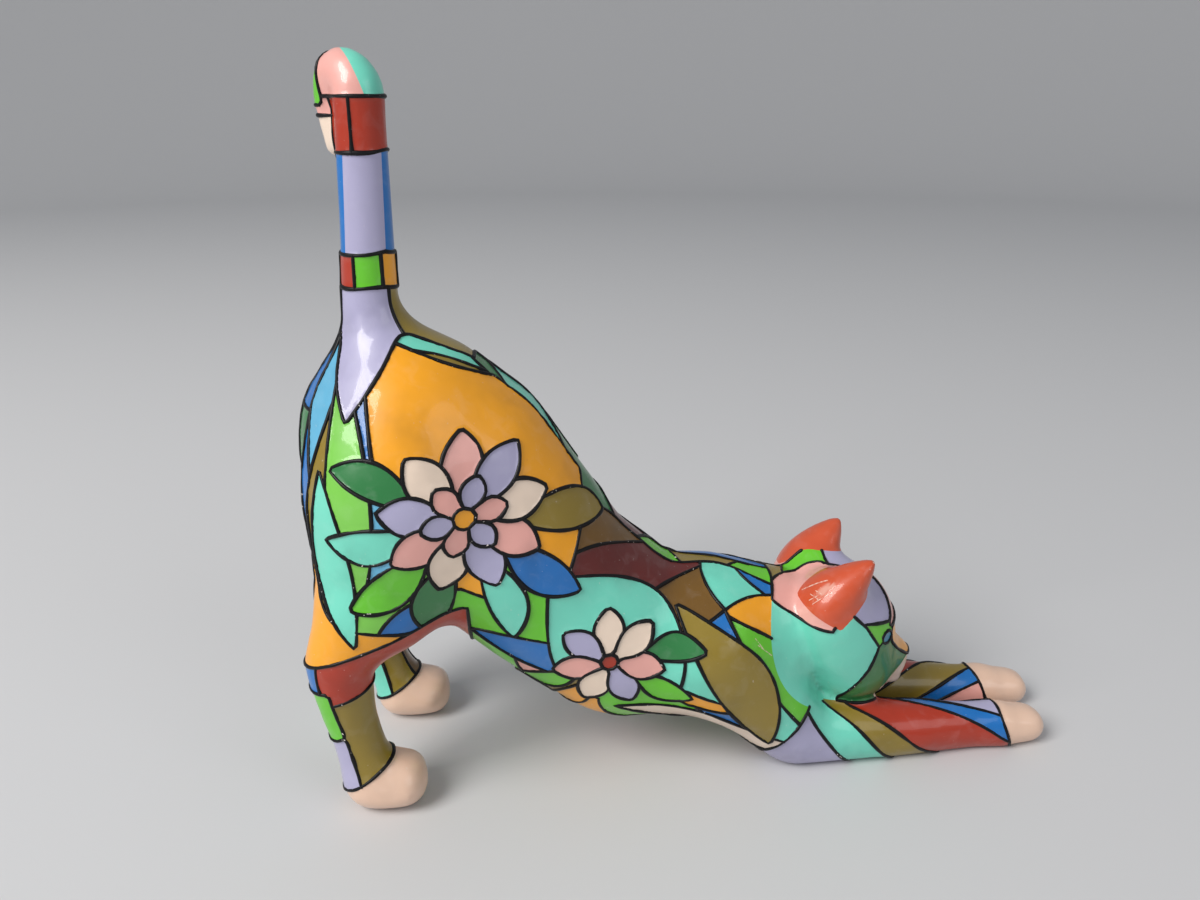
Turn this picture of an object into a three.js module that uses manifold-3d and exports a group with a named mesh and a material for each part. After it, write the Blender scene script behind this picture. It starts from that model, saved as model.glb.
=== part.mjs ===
import * as THREE from "three";
import { mergeVertices } from "three/addons/utils/BufferGeometryUtils.js";
import Module from "manifold-3d";

// A cast resin cat, stretching: hind legs straight, chest and forearms on the floor, tail upright
// with its tip curled over. +X is the way the cat faces, +Z is up, and the floor is z = 0.

// Driving sizes, in millimetres
const figureHeight = 250; // from the floor to the top of the tail
const bodyFacet = 0.0236 * figureHeight; // edge length of the facets of the trunk and legs
const fineFacet = 0.0168 * figureHeight; // edge length of the facets of the head and the tail
const soleDepth = 1.0; // how far each hind paw is ground flat
const earLength = 26.5; // from the ear's root inside the skull to its tip
const earWidth = 25; // across the root, from rim to rim
const earThickness = 21; // across the root, from the back to the hollow
const earLean = 5; // how far the tip leans forward of the root
const earHollow = 8; // how deep the front of the ear is scooped

// The figure's pose and proportions are in hundredths of its height.
const unit = figureHeight / 100;
const soleLevel = soleDepth / unit;

// A limb is a row of balls, each [x, y, z, radius], with the skin drawn tight from one ball to the
// next. "wide" stretches it sideways, and "blend" is how softly it runs into what it grows from.
const trunk = {
  blend: 0,
  wide: 0.93,
  balls: [
    [5, 0, 51.6, 14.2],
    [11.5, 0, 46.6, 14],
    [17.5, 0, 36, 14.8],
    [24, 0, 28.2, 13.6],
    [34, 0, 20, 13.3],
    [46, 0, 16.8, 11],
  ],
};
const neck = {
  blend: 3,
  wide: 1.0,
  balls: [
    [47.5, 0, 20.3, 10],
    [60, 0, 19, 8.2],
  ],
};
const tailRoot = {
  blend: 3.5,
  wide: 1.0,
  balls: [
    [3.4, 0, 54, 7.6],
    [1.4, 0, 69.5, 3.5],
  ],
};
const tailStem = {
  blend: 0,
  wide: 1.0,
  balls: [
    [1.8, 0, 58, 3.8],
    [1.3, 0, 68, 3.8],
    [1.6, 0, 78, 3.5],
    [2, 0, 94.35, 3.2],
  ],
};
const skull = {
  blend: 0,
  wide: 1.1,
  balls: [
    [66.5, 0, 19.6, 9.3],
    [69, 0, 14.2, 7.9],
  ],
};
const muzzle = {
  blend: 2,
  wide: 1.25,
  balls: [
    [74.5, 0, 13.4, 3.6],
    [77, 0, 11.2, 3.1],
  ],
};

// The limbs that come in pairs, given for one side; "step" moves a foot or a paw forward, and
// "inward" brings a paw towards the other one.
function hindLeg(step) {
  return [
    {
      blend: 4,
      wide: 0.78,
      balls: [
        [4.3, 7, 44.9, 12.5],
        [1.2, 9, 32, 8.6],
      ],
    },
    {
      blend: 2.5,
      wide: 0.95,
      balls: [
        [-1.2, 9.8, 30.2, 6.4],
        [-5.4, 10.6, 22.8, 4.7],
        [-4.2 + step * 0.6, 10.7, 12.6, 3.6],
        [-2.8 + step, 10.8, 6, 3.8],
      ],
    },
    {
      blend: 2.2,
      wide: 1.2,
      balls: [
        [-2.4 + step, 10.8, 3.7 - soleLevel, 3.7],
        [2.1 + step, 10.8, 3.9 - soleLevel, 3.9],
      ],
    },
  ];
}
function foreLeg(step, inward) {
  return [
    {
      blend: 5,
      wide: 0.9,
      balls: [
        [46.7, 6.8, 19, 7.8],
        [57.8, 6.6, 7.2, 6.2],
      ],
    },
    {
      blend: 2.2,
      wide: 1.0,
      balls: [
        [60.3, 6.2, 4.1, 5.2],
        [77, 6.1 - inward * 0.5, 3.4, 4.4],
        [91 + step, 5.7 - inward, 2.7, 3.4],
      ],
    },
    {
      blend: 2,
      wide: 1.12,
      balls: [
        [92.5 + step, 5.7 - inward, 2.7, 3.4],
        [97.3 + step, 5.5 - inward, 2.5, 3.1],
      ],
    },
  ];
}
const earRoot = {
  blend: 3,
  wide: 1.0,
  balls: [
    [63.6, 5.6, 24, 5],
    [64.6, 6, 26.6, 4.3],
  ],
};
const mirrored = (limbs, side) =>
  limbs.map((limb) => ({ ...limb, balls: limb.balls.map(([x, y, z, r]) => [x, side * y, z, r]) }));

// The tail's tip curls over backwards and to the cat's left, close against the stem.
function tailCurl() {
  const [x, y, z, stemRadius] = tailStem.balls[tailStem.balls.length - 1];
  const bend = 2.8;
  const tipRadius = 2.5;
  const heading = new THREE.Vector2(-0.7, 0.7);
  const steps = 6;
  const balls = [];
  for (let i = 0; i <= steps; i++) {
    const angle = (Math.PI * i) / steps;
    const out = heading.clone().multiplyScalar(bend * (1 - Math.cos(angle)));
    const radius = THREE.MathUtils.lerp(stemRadius, tipRadius, i / steps);
    balls.push([x + out.x, y + out.y, z + bend * Math.sin(angle), radius]);
  }
  const [endX, endY, endZ] = balls[steps];
  balls.push([endX + 0.3, endY, endZ - 6, 1.7]);
  return { blend: 0.6, wide: 1.0, balls };
}

// The trunk and legs, the head, and the tail each get a skin of their own, and the three are joined.
const inMillimetres = (limbs) =>
  limbs.map(({ blend, wide, balls }) => ({
    blend: blend * unit,
    wide,
    balls: balls.map((ball) => ball.map((value) => value * unit)),
  }));
const bodyLimbs = inMillimetres([
  trunk,
  ...[-1, 1].flatMap((side) => mirrored(hindLeg(side > 0 ? 2 : 0), side)),
  ...[-1, 1].flatMap((side) => mirrored(side > 0 ? foreLeg(2.4, 1.2) : foreLeg(0, 0), side)),
  neck,
  tailRoot,
]);
const headLimbs = inMillimetres([
  skull,
  muzzle,
  ...[-1, 1].flatMap((side) => mirrored([earRoot], side)),
]);
const tailLimbs = inMillimetres([tailStem, tailCurl()]);

// Distance from a point to the skin over two balls, negative inside.
function taperedRod(x, y, z, [ax, ay, az, ra], [bx, by, bz, rb]) {
  const [dx, dy, dz] = [bx - ax, by - ay, bz - az];
  const [px, py, pz] = [x - ax, y - ay, z - az];
  const lengthSq = dx * dx + dy * dy + dz * dz;
  const length = Math.sqrt(lengthSq);
  const along = (px * dx + py * dy + pz * dz) / length;
  const off = Math.sqrt(Math.max(px * px + py * py + pz * pz - along * along, 0));
  const slope = Math.min(Math.max((ra - rb) / length, -0.999), 0.999);
  const rise = Math.sqrt(1 - slope * slope);
  const foot = along - (off * slope) / rise; // the place on the axis that the point is square above
  if (foot <= 0) return Math.hypot(along, off) - ra;
  if (foot >= length) return Math.hypot(along - length, off) - rb;
  return off * rise + along * slope - ra;
}

function limbDistance(limb, x, y, z) {
  const middle = limb.balls[0][1];
  let nearest = Infinity;
  for (let i = 0; i + 1 < limb.balls.length; i++) {
    const squeezed = middle + (y - middle) / limb.wide;
    nearest = Math.min(nearest, taperedRod(x, squeezed, z, limb.balls[i], limb.balls[i + 1]));
  }
  return nearest;
}

function smoothMin(a, b, width) {
  if (width <= 0) return Math.min(a, b);
  const h = Math.max(width - Math.abs(a - b), 0) / width;
  return Math.min(a, b) - (h * h * width) / 4;
}

// The corners of a box that holds every ball, with room around them for a few cells of a grid.
function reach(limbs, pitch) {
  const low = [Infinity, Infinity, Infinity];
  const high = [-Infinity, -Infinity, -Infinity];
  for (const { balls, wide } of limbs)
    for (const [x, y, z, r] of balls)
      [x, y, z].forEach((value, axis) => {
        const span = r * Math.max(wide, 1) + 3 * pitch;
        low[axis] = Math.min(low[axis], value - span);
        high[axis] = Math.max(high[axis], value + span);
      });
  return [low, high];
}

// The skin over a group of limbs, as a closed mesh of quads cut in two: one vertex in each cell of
// a grid that the skin crosses, moved onto the skin, and one quad across each crossed edge.
function skin(limbs, pitch) {
  const distance = (x, y, z) =>
    limbs.reduce((d, limb) => smoothMin(d, limbDistance(limb, x, y, z), limb.blend), Infinity);
  const [low, high] = reach(limbs, pitch);
  const counts = high.map((top, axis) => Math.ceil((top - low[axis]) / pitch) + 1);
  const [nx, ny, nz] = counts;
  const index = (i, j, k) => (k * ny + j) * nx + i;
  const place = (i, axis) => low[axis] + i * pitch;
  const values = new Float64Array(nx * ny * nz);
  for (let k = 0; k < nz; k++)
    for (let j = 0; j < ny; j++)
      for (let i = 0; i < nx; i++)
        values[index(i, j, k)] = distance(place(i, 0), place(j, 1), place(k, 2));

  const corners = [0, 1, 2, 3, 4, 5, 6, 7].map((n) => [n & 1, (n >> 1) & 1, n >> 2]);
  const edges = corners.flatMap((_, a) => [1, 2, 4].filter((bit) => !(a & bit)).map((bit) => [a, a | bit]));
  const vertexOf = new Int32Array(nx * ny * nz).fill(-1);
  const points = [];
  for (let k = 0; k + 1 < nz; k++)
    for (let j = 0; j + 1 < ny; j++)
      for (let i = 0; i + 1 < nx; i++) {
        const here = corners.map(([di, dj, dk]) => values[index(i + di, j + dj, k + dk)]);
        const crossed = edges.filter(([a, b]) => here[a] < 0 !== here[b] < 0);
        if (!crossed.length) continue;
        const sum = [0, 0, 0];
        for (const [a, b] of crossed) {
          const share = here[a] / (here[a] - here[b]);
          for (let axis = 0; axis < 3; axis++)
            sum[axis] += corners[a][axis] + share * (corners[b][axis] - corners[a][axis]);
        }
        const start = [i, j, k].map((n, axis) => place(n, axis) + (sum[axis] / crossed.length) * pitch);
        vertexOf[index(i, j, k)] = points.length / 3;
        points.push(...ontoSkin(distance, start, pitch));
      }

  const triangles = [];
  const gap = (a, b) =>
    Math.hypot(...[0, 1, 2].map((axis) => points[3 * a + axis] - points[3 * b + axis]));
  const quad = (a, b, c, d, flip) => {
    const [p, q, r, s] = gap(a, c) < gap(b, d) ? [a, b, c, d] : [b, c, d, a];
    triangles.push(...(flip ? [p, r, q, p, s, r] : [p, q, r, p, r, s]));
  };
  for (let k = 1; k + 1 < nz; k++)
    for (let j = 1; j + 1 < ny; j++)
      for (let i = 1; i + 1 < nx; i++) {
        const inside = values[index(i, j, k)] < 0;
        const v = (di, dj, dk) => vertexOf[index(i + di, j + dj, k + dk)];
        if (inside !== values[index(i + 1, j, k)] < 0)
          quad(v(0, -1, -1), v(0, 0, -1), v(0, 0, 0), v(0, -1, 0), !inside);
        if (inside !== values[index(i, j + 1, k)] < 0)
          quad(v(-1, 0, -1), v(-1, 0, 0), v(0, 0, 0), v(0, 0, -1), !inside);
        if (inside !== values[index(i, j, k + 1)] < 0)
          quad(v(-1, -1, 0), v(0, -1, 0), v(0, 0, 0), v(-1, 0, 0), !inside);
      }
  const geometry = new THREE.BufferGeometry();
  geometry.setAttribute("position", new THREE.Float32BufferAttribute(points, 3));
  geometry.setIndex(triangles);
  return geometry;
}

// A few steps along the slope bring a point onto the skin, never further than half a cell away.
function ontoSkin(distance, start, pitch) {
  const nudge = pitch / 50;
  const reach = pitch / 2;
  let [x, y, z] = start;
  for (let turn = 0; turn < 3; turn++) {
    const d = distance(x, y, z);
    const slope = new THREE.Vector3(
      distance(x + nudge, y, z) - distance(x - nudge, y, z),
      distance(x, y + nudge, z) - distance(x, y - nudge, z),
      distance(x, y, z + nudge) - distance(x, y, z - nudge),
    ).divideScalar(2 * nudge);
    const step = -d / Math.max(slope.lengthSq(), 0.2);
    x += slope.x * step;
    y += slope.y * step;
    z += slope.z * step;
  }
  return [x, y, z].map((value, axis) => THREE.MathUtils.clamp(value, start[axis] - reach, start[axis] + reach));
}

// A horn stands on its root and narrows to a rounded tip that leans forward along +Y.
function hornGeometry(length, width, thickness, lean) {
  const rings = 9;
  const around = 20;
  const positions = [0, 0, 0];
  for (let ring = 0; ring < rings; ring++) {
    const t = ring / rings;
    const swell = Math.pow(1 - Math.pow(t, 1.8), 0.9);
    for (let i = 0; i < around; i++) {
      const angle = (2 * Math.PI * i) / around;
      const across = (width / 2) * swell * Math.cos(angle);
      const front = (thickness / 2) * swell * Math.sin(angle) + lean * t * t;
      positions.push(across, front, length * t);
    }
  }
  const tip = positions.length / 3;
  positions.push(0, lean, length);
  const triangles = [];
  const at = (ring, i) => 1 + ring * around + (i % around);
  for (let i = 0; i < around; i++) {
    triangles.push(0, at(0, i + 1), at(0, i));
    triangles.push(tip, at(rings - 1, i), at(rings - 1, i + 1));
    for (let ring = 0; ring + 1 < rings; ring++) {
      triangles.push(at(ring, i), at(ring, i + 1), at(ring + 1, i + 1));
      triangles.push(at(ring, i), at(ring + 1, i + 1), at(ring + 1, i));
    }
  }
  const geometry = new THREE.BufferGeometry();
  geometry.setAttribute("position", new THREE.Float32BufferAttribute(positions, 3));
  geometry.setIndex(triangles);
  return geometry;
}

// One ear, scooped out on its front, turned to grow from the skull on one side of the head.
function earSolid(side) {
  const root = new THREE.Vector3(63.4, side * 5.8, 24.6).multiplyScalar(unit);
  const axis = new THREE.Vector3(0.42, side * 0.1, 0.88).normalize();
  const front = new THREE.Vector3(0.82, side * 0.34, -0.43);
  front.addScaledVector(axis, -front.dot(axis)).normalize();
  const across = new THREE.Vector3().crossVectors(front, axis);
  const turn = new THREE.Matrix4().makeBasis(across, front, axis).setPosition(root);
  const horn = hornGeometry(earLength, earWidth, earThickness, earLean);
  const scoop = hornGeometry(earLength * 0.86, earWidth * 0.74, earThickness * 0.9, earLean)
    .translate(0, earThickness * 0.95 - earHollow, earLength * 0.02);
  return solidOf(horn.applyMatrix4(turn)).subtract(solidOf(scoop.applyMatrix4(turn)));
}

const wasm = await Module();
wasm.setup();

// Corners closer than "weld" become one.
function solidOf(geometry, weld = 1e-4) {
  const plain = geometry.clone();
  plain.deleteAttribute("normal");
  plain.deleteAttribute("uv");
  const merged = mergeVertices(plain, weld);
  return new wasm.Manifold(
    new wasm.Mesh({
      numProp: 3,
      vertProperties: new Float32Array(merged.attributes.position.array),
      triVerts: new Uint32Array(merged.index.array),
    }),
  );
}

function geometryOf(solid) {
  const { vertProperties, triVerts } = solid.getMesh();
  const geometry = new THREE.BufferGeometry();
  geometry.setAttribute("position", new THREE.BufferAttribute(vertProperties, 3));
  geometry.setIndex(new THREE.BufferAttribute(triVerts, 1));
  geometry.computeVertexNormals();
  return geometry;
}

function castFigure() {
  let figure = solidOf(skin(bodyLimbs, bodyFacet))
    .add(solidOf(skin(headLimbs, fineFacet)))
    .add(solidOf(skin(tailLimbs, fineFacet)));
  for (const side of [-1, 1]) figure = figure.add(earSolid(side));
  const floorSize = 3 * figureHeight;
  const floor = new THREE.BoxGeometry(floorSize, floorSize, floorSize).translate(0, 0, -floorSize / 2);
  return solidOf(geometryOf(figure.subtract(solidOf(floor))), 0.02);
}

// The origin is the middle of the figure's footprint, on the floor.
const geometry = geometryOf(castFigure());
geometry.computeBoundingBox();
const middle = geometry.boundingBox.getCenter(new THREE.Vector3());
geometry.translate(-middle.x, -middle.y, 0);

const enamel = new THREE.MeshStandardMaterial({ color: 0x6ecfb4, roughness: 0.3, metalness: 0 });
const cat = new THREE.Mesh(geometry, enamel);
cat.name = "stretching_cat";

const group = new THREE.Group();
group.add(cat);
export default group;
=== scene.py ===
import math

import bpy
import numpy as np
from mathutils import Matrix, Vector


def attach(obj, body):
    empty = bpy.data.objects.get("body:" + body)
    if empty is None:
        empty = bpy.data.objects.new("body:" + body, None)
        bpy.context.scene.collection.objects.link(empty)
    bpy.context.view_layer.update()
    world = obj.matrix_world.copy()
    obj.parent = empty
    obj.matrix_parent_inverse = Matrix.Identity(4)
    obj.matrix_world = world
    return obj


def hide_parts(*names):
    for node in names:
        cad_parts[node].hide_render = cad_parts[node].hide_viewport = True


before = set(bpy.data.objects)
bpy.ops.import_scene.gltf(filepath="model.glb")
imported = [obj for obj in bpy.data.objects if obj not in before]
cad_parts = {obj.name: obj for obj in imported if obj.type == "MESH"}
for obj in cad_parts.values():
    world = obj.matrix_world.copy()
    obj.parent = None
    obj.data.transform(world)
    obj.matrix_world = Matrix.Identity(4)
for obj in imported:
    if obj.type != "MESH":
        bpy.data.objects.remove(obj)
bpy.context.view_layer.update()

# The casting
# A stretching cat, cast in resin as one piece. The solid's facets are rounded off to the smooth
# skin of the casting, and its soles stay flat on the floor. Sizes are in millimetres.

METRES = 0.001
WELD_DISTANCE = 0.03
SKIN_STEP = 1.4
MUZZLE_BACK, MUZZLE_FOOT = 68, 20.5
NOSE_HEIGHT, NOSE_FORWARD = 36, 1.7
CHIN_TOP, CHIN_SLOPE = 35, 0.4


def stand(name, data):
    """A new object in the scene, at the origin."""
    thing = bpy.data.objects.new(name, data)
    bpy.context.scene.collection.objects.link(thing)
    return thing


def finished_mesh(thing):
    """The plain mesh that an object's modifiers make."""
    bpy.context.view_layer.update()
    evaluated = thing.evaluated_get(bpy.context.evaluated_depsgraph_get())
    return bpy.data.meshes.new_from_object(evaluated)


rounding = stand("rounding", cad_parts["stretching_cat"].data.copy())
for kind, settings in (
    ("WELD", {"merge_threshold": WELD_DISTANCE * METRES}),
    ("SUBSURF", {"levels": 2}),
    ("REMESH", {"mode": "VOXEL", "voxel_size": SKIN_STEP * METRES}),
    ("SMOOTH", {"factor": 0.5, "iterations": 3}),
    ("TRIANGULATE", {}),
):
    modifier = rounding.modifiers.new(kind.lower(), kind)
    for setting, value in settings.items():
        setattr(modifier, setting, value)
rounded = finished_mesh(rounding)
bpy.data.objects.remove(rounding)


class PaintedSurface:
    """A closed surface in millimetres. It is split along each painted outline into panes, and each
    pane keeps the paints that it may have and the group of panes that it belongs to."""

    SNAP = 0.16

    def __init__(self, mesh):
        self.points = np.empty(len(mesh.vertices) * 3)
        mesh.vertices.foreach_get("co", self.points)
        self.points = self.points.reshape(-1, 3) / METRES
        self.faces = np.empty(len(mesh.polygons) * 3, np.int64)
        mesh.loops.foreach_get("vertex_index", self.faces)
        self.faces = self.faces.reshape(-1, 3)
        self.pane = np.zeros(len(self.faces), int)
        self.styles = [("bare", ())]

    def group(self, *names):
        """The faces whose pane belongs to one of these groups."""
        return np.array([style[0] in names for style in self.styles])[self.pane]

    def split(self, field, active):
        """Splits the active faces where field, a function of points, is 0. The result holds the
        faces where it is negative."""
        points, faces = self.points, self.faces
        corners = faces[active]
        value = np.ones(len(points))
        used = np.unique(corners)
        value[used] = field(points[used])
        ends = np.concatenate([corners[:, [0, 1]], corners[:, [1, 2]], corners[:, [2, 0]]])
        ends = ends[value[ends[:, 0]] * value[ends[:, 1]] < 0]
        # An end that lies close to the outline moves on to it, so that no sliver is left
        for near, far in (ends.T, ends[:, ::-1].T):
            share = value[near] / (value[near] - value[far] + 1e-12)
            close = (share > 0) & (share < self.SNAP)
            moved = points[near] + share[:, None] * (points[far] - points[near])
            points[near[close]] = moved[close]
            value[near[close]] = 0
        ends = ends[value[ends[:, 0]] * value[ends[:, 1]] < 0]
        if len(ends) == 0:
            return active & (value[faces].sum(1) < 0)
        ends.sort(axis=1)
        size = len(points)
        keys = np.unique(ends[:, 0] * size + ends[:, 1])
        low, high = keys // size, keys % size
        share = (value[low] / (value[low] - value[high]))[:, None]
        self.points = np.vstack([points, points[low] + share * (points[high] - points[low])])
        value = np.append(value, np.zeros(len(keys)))
        crossed = np.zeros(size, bool)
        crossed[low] = crossed[high] = True
        rows = np.flatnonzero(crossed[faces].sum(1) >= 2)
        sides = np.sort(np.stack([faces[rows], np.roll(faces[rows], -1, axis=1)], axis=2), axis=2)
        wanted = sides[..., 0] * size + sides[..., 1]
        place = np.minimum(np.searchsorted(keys, wanted), len(keys) - 1)
        hit = keys[place] == wanted
        rows, place, hit = rows[hit.any(1)], place[hit.any(1)], hit[hit.any(1)]
        count = hit.sum(1)
        turn = np.where(count == 2, np.argmin(hit, axis=1) + 1, np.argmax(hit, axis=1))
        order = (turn[:, None] + np.arange(3)) % 3
        corner = np.take_along_axis(faces[rows], order, axis=1)
        middle = size + np.take_along_axis(place, order, axis=1)
        a, b, c = corner.T
        ab, bc, ca = middle.T
        shapes = (
            (1, ((a, ab, c), (ab, b, c))),
            (2, ((ab, b, bc), (a, ab, bc), (a, bc, c))),
            (3, ((a, ab, ca), (ab, b, bc), (ca, bc, c), (ab, bc, ca))),
        )
        whole = np.ones(len(faces), bool)
        whole[rows] = False
        parts = [faces[whole]]
        parents = [np.flatnonzero(whole)]
        for number, triangles in shapes:
            chosen = count == number
            for triangle in triangles:
                parts.append(np.stack(triangle, axis=1)[chosen])
                parents.append(rows[chosen])
        self.faces = np.concatenate(parts)
        parents = np.concatenate(parents)
        self.pane = self.pane[parents]
        return active[parents] & (value[self.faces].sum(1) < 0)

    def lay(self, group, paints, field, *over):
        """Lays a pane of a group where field is negative, over the panes of the groups named."""
        inside = self.split(field, self.group(*over))
        self.styles.append((group, tuple(paints)))
        self.pane[inside] = len(self.styles) - 1

    def cut(self, field, *over):
        """Cuts the panes of these groups in two along field."""
        inside = self.split(field, self.group(*over))
        first, self.pane = np.unique(self.pane * 2 + inside, return_inverse=True)
        self.styles = [self.styles[number // 2] for number in first]


cat = PaintedSurface(rounded)

# The nose comes forward a little and the chin draws back below it
x, y, z = cat.points.T
muzzle = np.clip((x - MUZZLE_BACK) / 10, 0, 1) * np.clip((z - MUZZLE_FOOT) / 6, 0, 1)
tip = NOSE_FORWARD * np.exp(-(((z - NOSE_HEIGHT) / 3.5) ** 2) - (y / 7) ** 2)
cat.points[:, 0] += muzzle * (tip - CHIN_SLOPE * np.clip(CHIN_TOP - z, 0, 12))

# Tail, legs and paws
# Parts of the same casting, marked off from the trunk and then brushed with hobby enamels, each in
# its own run of panes: rings up the tail, and strips that wind round the legs. The paws are plain.


def paint(red, green, blue):
    """A paint's colour as light, from how it looks on a screen, 0 to 255."""
    shares = [channel / 255 for channel in (red, green, blue)]
    return tuple(((s + 0.055) / 1.055) ** 2.4 if s > 0.04 else s / 12.92 for s in shares)


ORANGE = paint(243, 163, 12)
TURQUOISE = paint(112, 214, 190)
GREEN = paint(98, 195, 32)
BLUE = paint(0, 108, 186)
SKY = paint(96, 176, 212)
OLIVE = paint(140, 118, 36)
BROWN = paint(112, 78, 18)
TERRACOTTA = paint(170, 44, 12)
LILAC = paint(172, 168, 200)
PINK = paint(232, 168, 158)
CREAM = paint(238, 216, 196)
PAW = paint(232, 196, 172)
# What a field gives where it has no say, far from any outline
ELSEWHERE = 60.0


def unit(vectors):
    """The same directions, each one long."""
    return vectors / np.linalg.norm(vectors, axis=-1, keepdims=True)


class BentAxis:
    """An axis through part of the body. Each point of the surface gets a place along it, an angle
    round it and a distance from it, and all three change smoothly where the axis bends."""

    STEP = 4

    def __init__(self, spread, *corners):
        corners = np.array(corners, float)
        reach = np.append(0, np.cumsum(np.linalg.norm(np.diff(corners, axis=0), axis=1)))
        self.along = np.linspace(0, reach[-1], int(reach[-1] / self.STEP) + 2)
        self.places = np.stack([np.interp(self.along, reach, corners[:, k]) for k in range(3)], 1)
        self.heading = unit(np.gradient(self.places, axis=0))
        self.spread = spread

    def measure(self, points):
        apart = sum((points[:, [k]] - self.places[:, k]) ** 2 for k in range(3))
        weight = np.exp((apart.min(1, keepdims=True) - apart) / (2 * self.spread**2))
        weight /= weight.sum(1, keepdims=True)
        centre = weight @ self.places
        heading = unit((weight @ self.heading)[:, [0, 2]])
        out = points - centre
        front = heading[:, 0] * out[:, 2] - heading[:, 1] * out[:, 0]
        side = out[:, 1]
        return weight @ self.along, np.degrees(np.arctan2(side, front)), np.hypot(front, side)


def wave(place, length, phase):
    """What makes an outline wander as if it were drawn by hand."""
    return np.sin(place / length + phase)


def half_turn(angle):
    """The same angle, from -180 to 180 degrees."""
    return (angle + 180) % 360 - 180


# The left legs, side 1, stand a little further forward than the right ones
LEFT_AHEAD = 5
AXES = {}
for side, shift in ((-1, 0), (1, LEFT_AHEAD)):
    AXES["hind", side] = BentAxis(12, (-113 + shift, 22 * side, 80), (-129.5 + shift, 26.5 * side, 57),
                                  (-126.5 + shift, 26.7 * side, 31.5), (-123 + shift, 27 * side, 15))
    AXES["fore", side] = BentAxis(10, (20 + shift, 16 * side, 16), (34 + shift, 15 * side, 11),
                                  (76 + shift, 14 * side, 9), (128 + shift, 13 * side, 8))


# The next functions are fields: each takes points of the surface in millimetres, is negative on its
# own part of the cat and grows with the distance from it


def skull_depth(points):
    """How far points stand out from the round of the skull and the muzzle."""
    depth = np.full(len(points), 1e3)
    skull = (1.1, (50, 49, 23.3), (56.2, 35.5, 19.8))
    snout = (1.25, (70, 33.5, 9), (76.2, 28, 7.8))
    for wide, first, last in (skull, snout):
        for step in np.linspace(0, 1, 9):
            x, z, radius = (a + step * (b - a) for a, b in zip(first, last))
            out = np.sqrt((points[:, 0] - x) ** 2 + (points[:, 1] / wide) ** 2 + (points[:, 2] - z) ** 2)
            depth = np.minimum(depth, out - radius)
    return depth


def head(points):
    """The head as far as its outline on the neck."""
    x, y, z = points.T
    face = np.hypot((x - 52) / 31.5, (z - 55) / 32) - 1
    return np.minimum(30 * face, skull_depth(points) - 0.7 - 0.9 * np.clip((x - 55) / 10, 0, 1))


def tail(points):
    return np.maximum(142 - points[:, 2], points[:, 0] + 80)


def hind_leg(points):
    x, y, z = points.T
    return np.maximum(z - 64 - 0.35 * (x + 125), x + 85)


def hind_paw(points):
    x, y, z = points.T
    shift = np.where(y > 0, LEFT_AHEAD, 0)
    return np.maximum(z - 19.5 - 0.63 * (x - shift + 114.5), x + 70)


def forearm(points):
    x, y, z = points.T
    return np.maximum(0.66 * (z - 14) - 0.75 * (x - 24), z - 40)


def fore_paw(points):
    """A paw, from a wavy outline across the wrist."""
    x, y, z = points.T
    return 119 + np.where(y > 0, 2.2, 0) - 0.37 * z - x + 0.6 * wave(y, 3, 0)


def everywhere(points):
    """A field that takes in all that a pane is laid over."""
    return np.full(len(points), -1.0)


cat.lay("trunk", (BLUE, SKY), everywhere, "bare")
cat.lay("tail", (LILAC,), tail, "trunk")
cat.lay("hind", (OLIVE,), hind_leg, "trunk")
cat.lay("hind paw", (PAW,), hind_paw, "hind")
cat.lay("fore", (TERRACOTTA, LILAC, TURQUOISE, PINK, OLIVE, BLUE, GREEN), forearm, "trunk")
cat.lay("fore paw", (PAW,), fore_paw, "fore")
cat.lay("head", (GREEN,), head, "trunk", "fore")

# The panes of each hind leg: their colour, how far down the leg they start and end, the side of
# the leg that they are on, 0 being the front and 90 the outside, and half the angle they span
LEG_PANES = {
    -1: ((TERRACOTTA, 0, 37, 0, 200), (BLUE, 0, 33, 175, 52), (GREEN, 33, 49, 165, 58),
         (LILAC, 49, 90, 165, 58), (TURQUOISE, 37, 90, -100, 38)),
    1: ((BLUE, 0, 34, 0, 200), (ORANGE, 0, 38, 170, 60), (TURQUOISE, 38, 90, 190, 62),
        (BROWN, 34, 90, -5, 34), (TERRACOTTA, 34, 60, 95, 34)),
}


def leg_pane(side, start, end, middle, half):
    """A pane of a hind leg, its outlines a little wavy."""
    def field(points):
        along, angle, distance = AXES["hind", side].measure(points)
        place = along + 4 * np.sin(np.radians(angle + 60)) + 0.8 * wave(along, 6, middle)
        turned = half_turn(angle - side * middle - 0.6 * (along - 45))
        across = (np.abs(turned) - half) * distance * math.pi / 180
        return np.maximum.reduce([start - place, place - end, across])
    return field


# The strips that wind round each forearm: how far each one goes on along it, and its colour
ARM_STRIPS = {
    -1: ((20, LILAC), (19, TURQUOISE), (14, OLIVE), (31, TERRACOTTA), (13, BLUE), (25, LILAC),
         (40, PINK)),
    1: ((22, TURQUOISE), (18, GREEN), (24, LILAC), (15, TERRACOTTA), (24, OLIVE), (13, BLUE),
        (40, PINK)),
}


def short_of(side, end):
    """The part of a forearm before an outline that winds outwards and forwards round it."""
    def field(points):
        along, angle, distance = AXES["fore", side].measure(points)
        bend = 2.5 * wave(along, 17, end) + 2 * np.sin(np.radians(2 * angle))
        return along - side * 0.29 * angle + bend - end
    return field


def on_side(side, field):
    """The same field on one side of the body only."""
    return lambda points: np.where(points[:, 1] * side > 0, field(points), ELSEWHERE)


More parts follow.
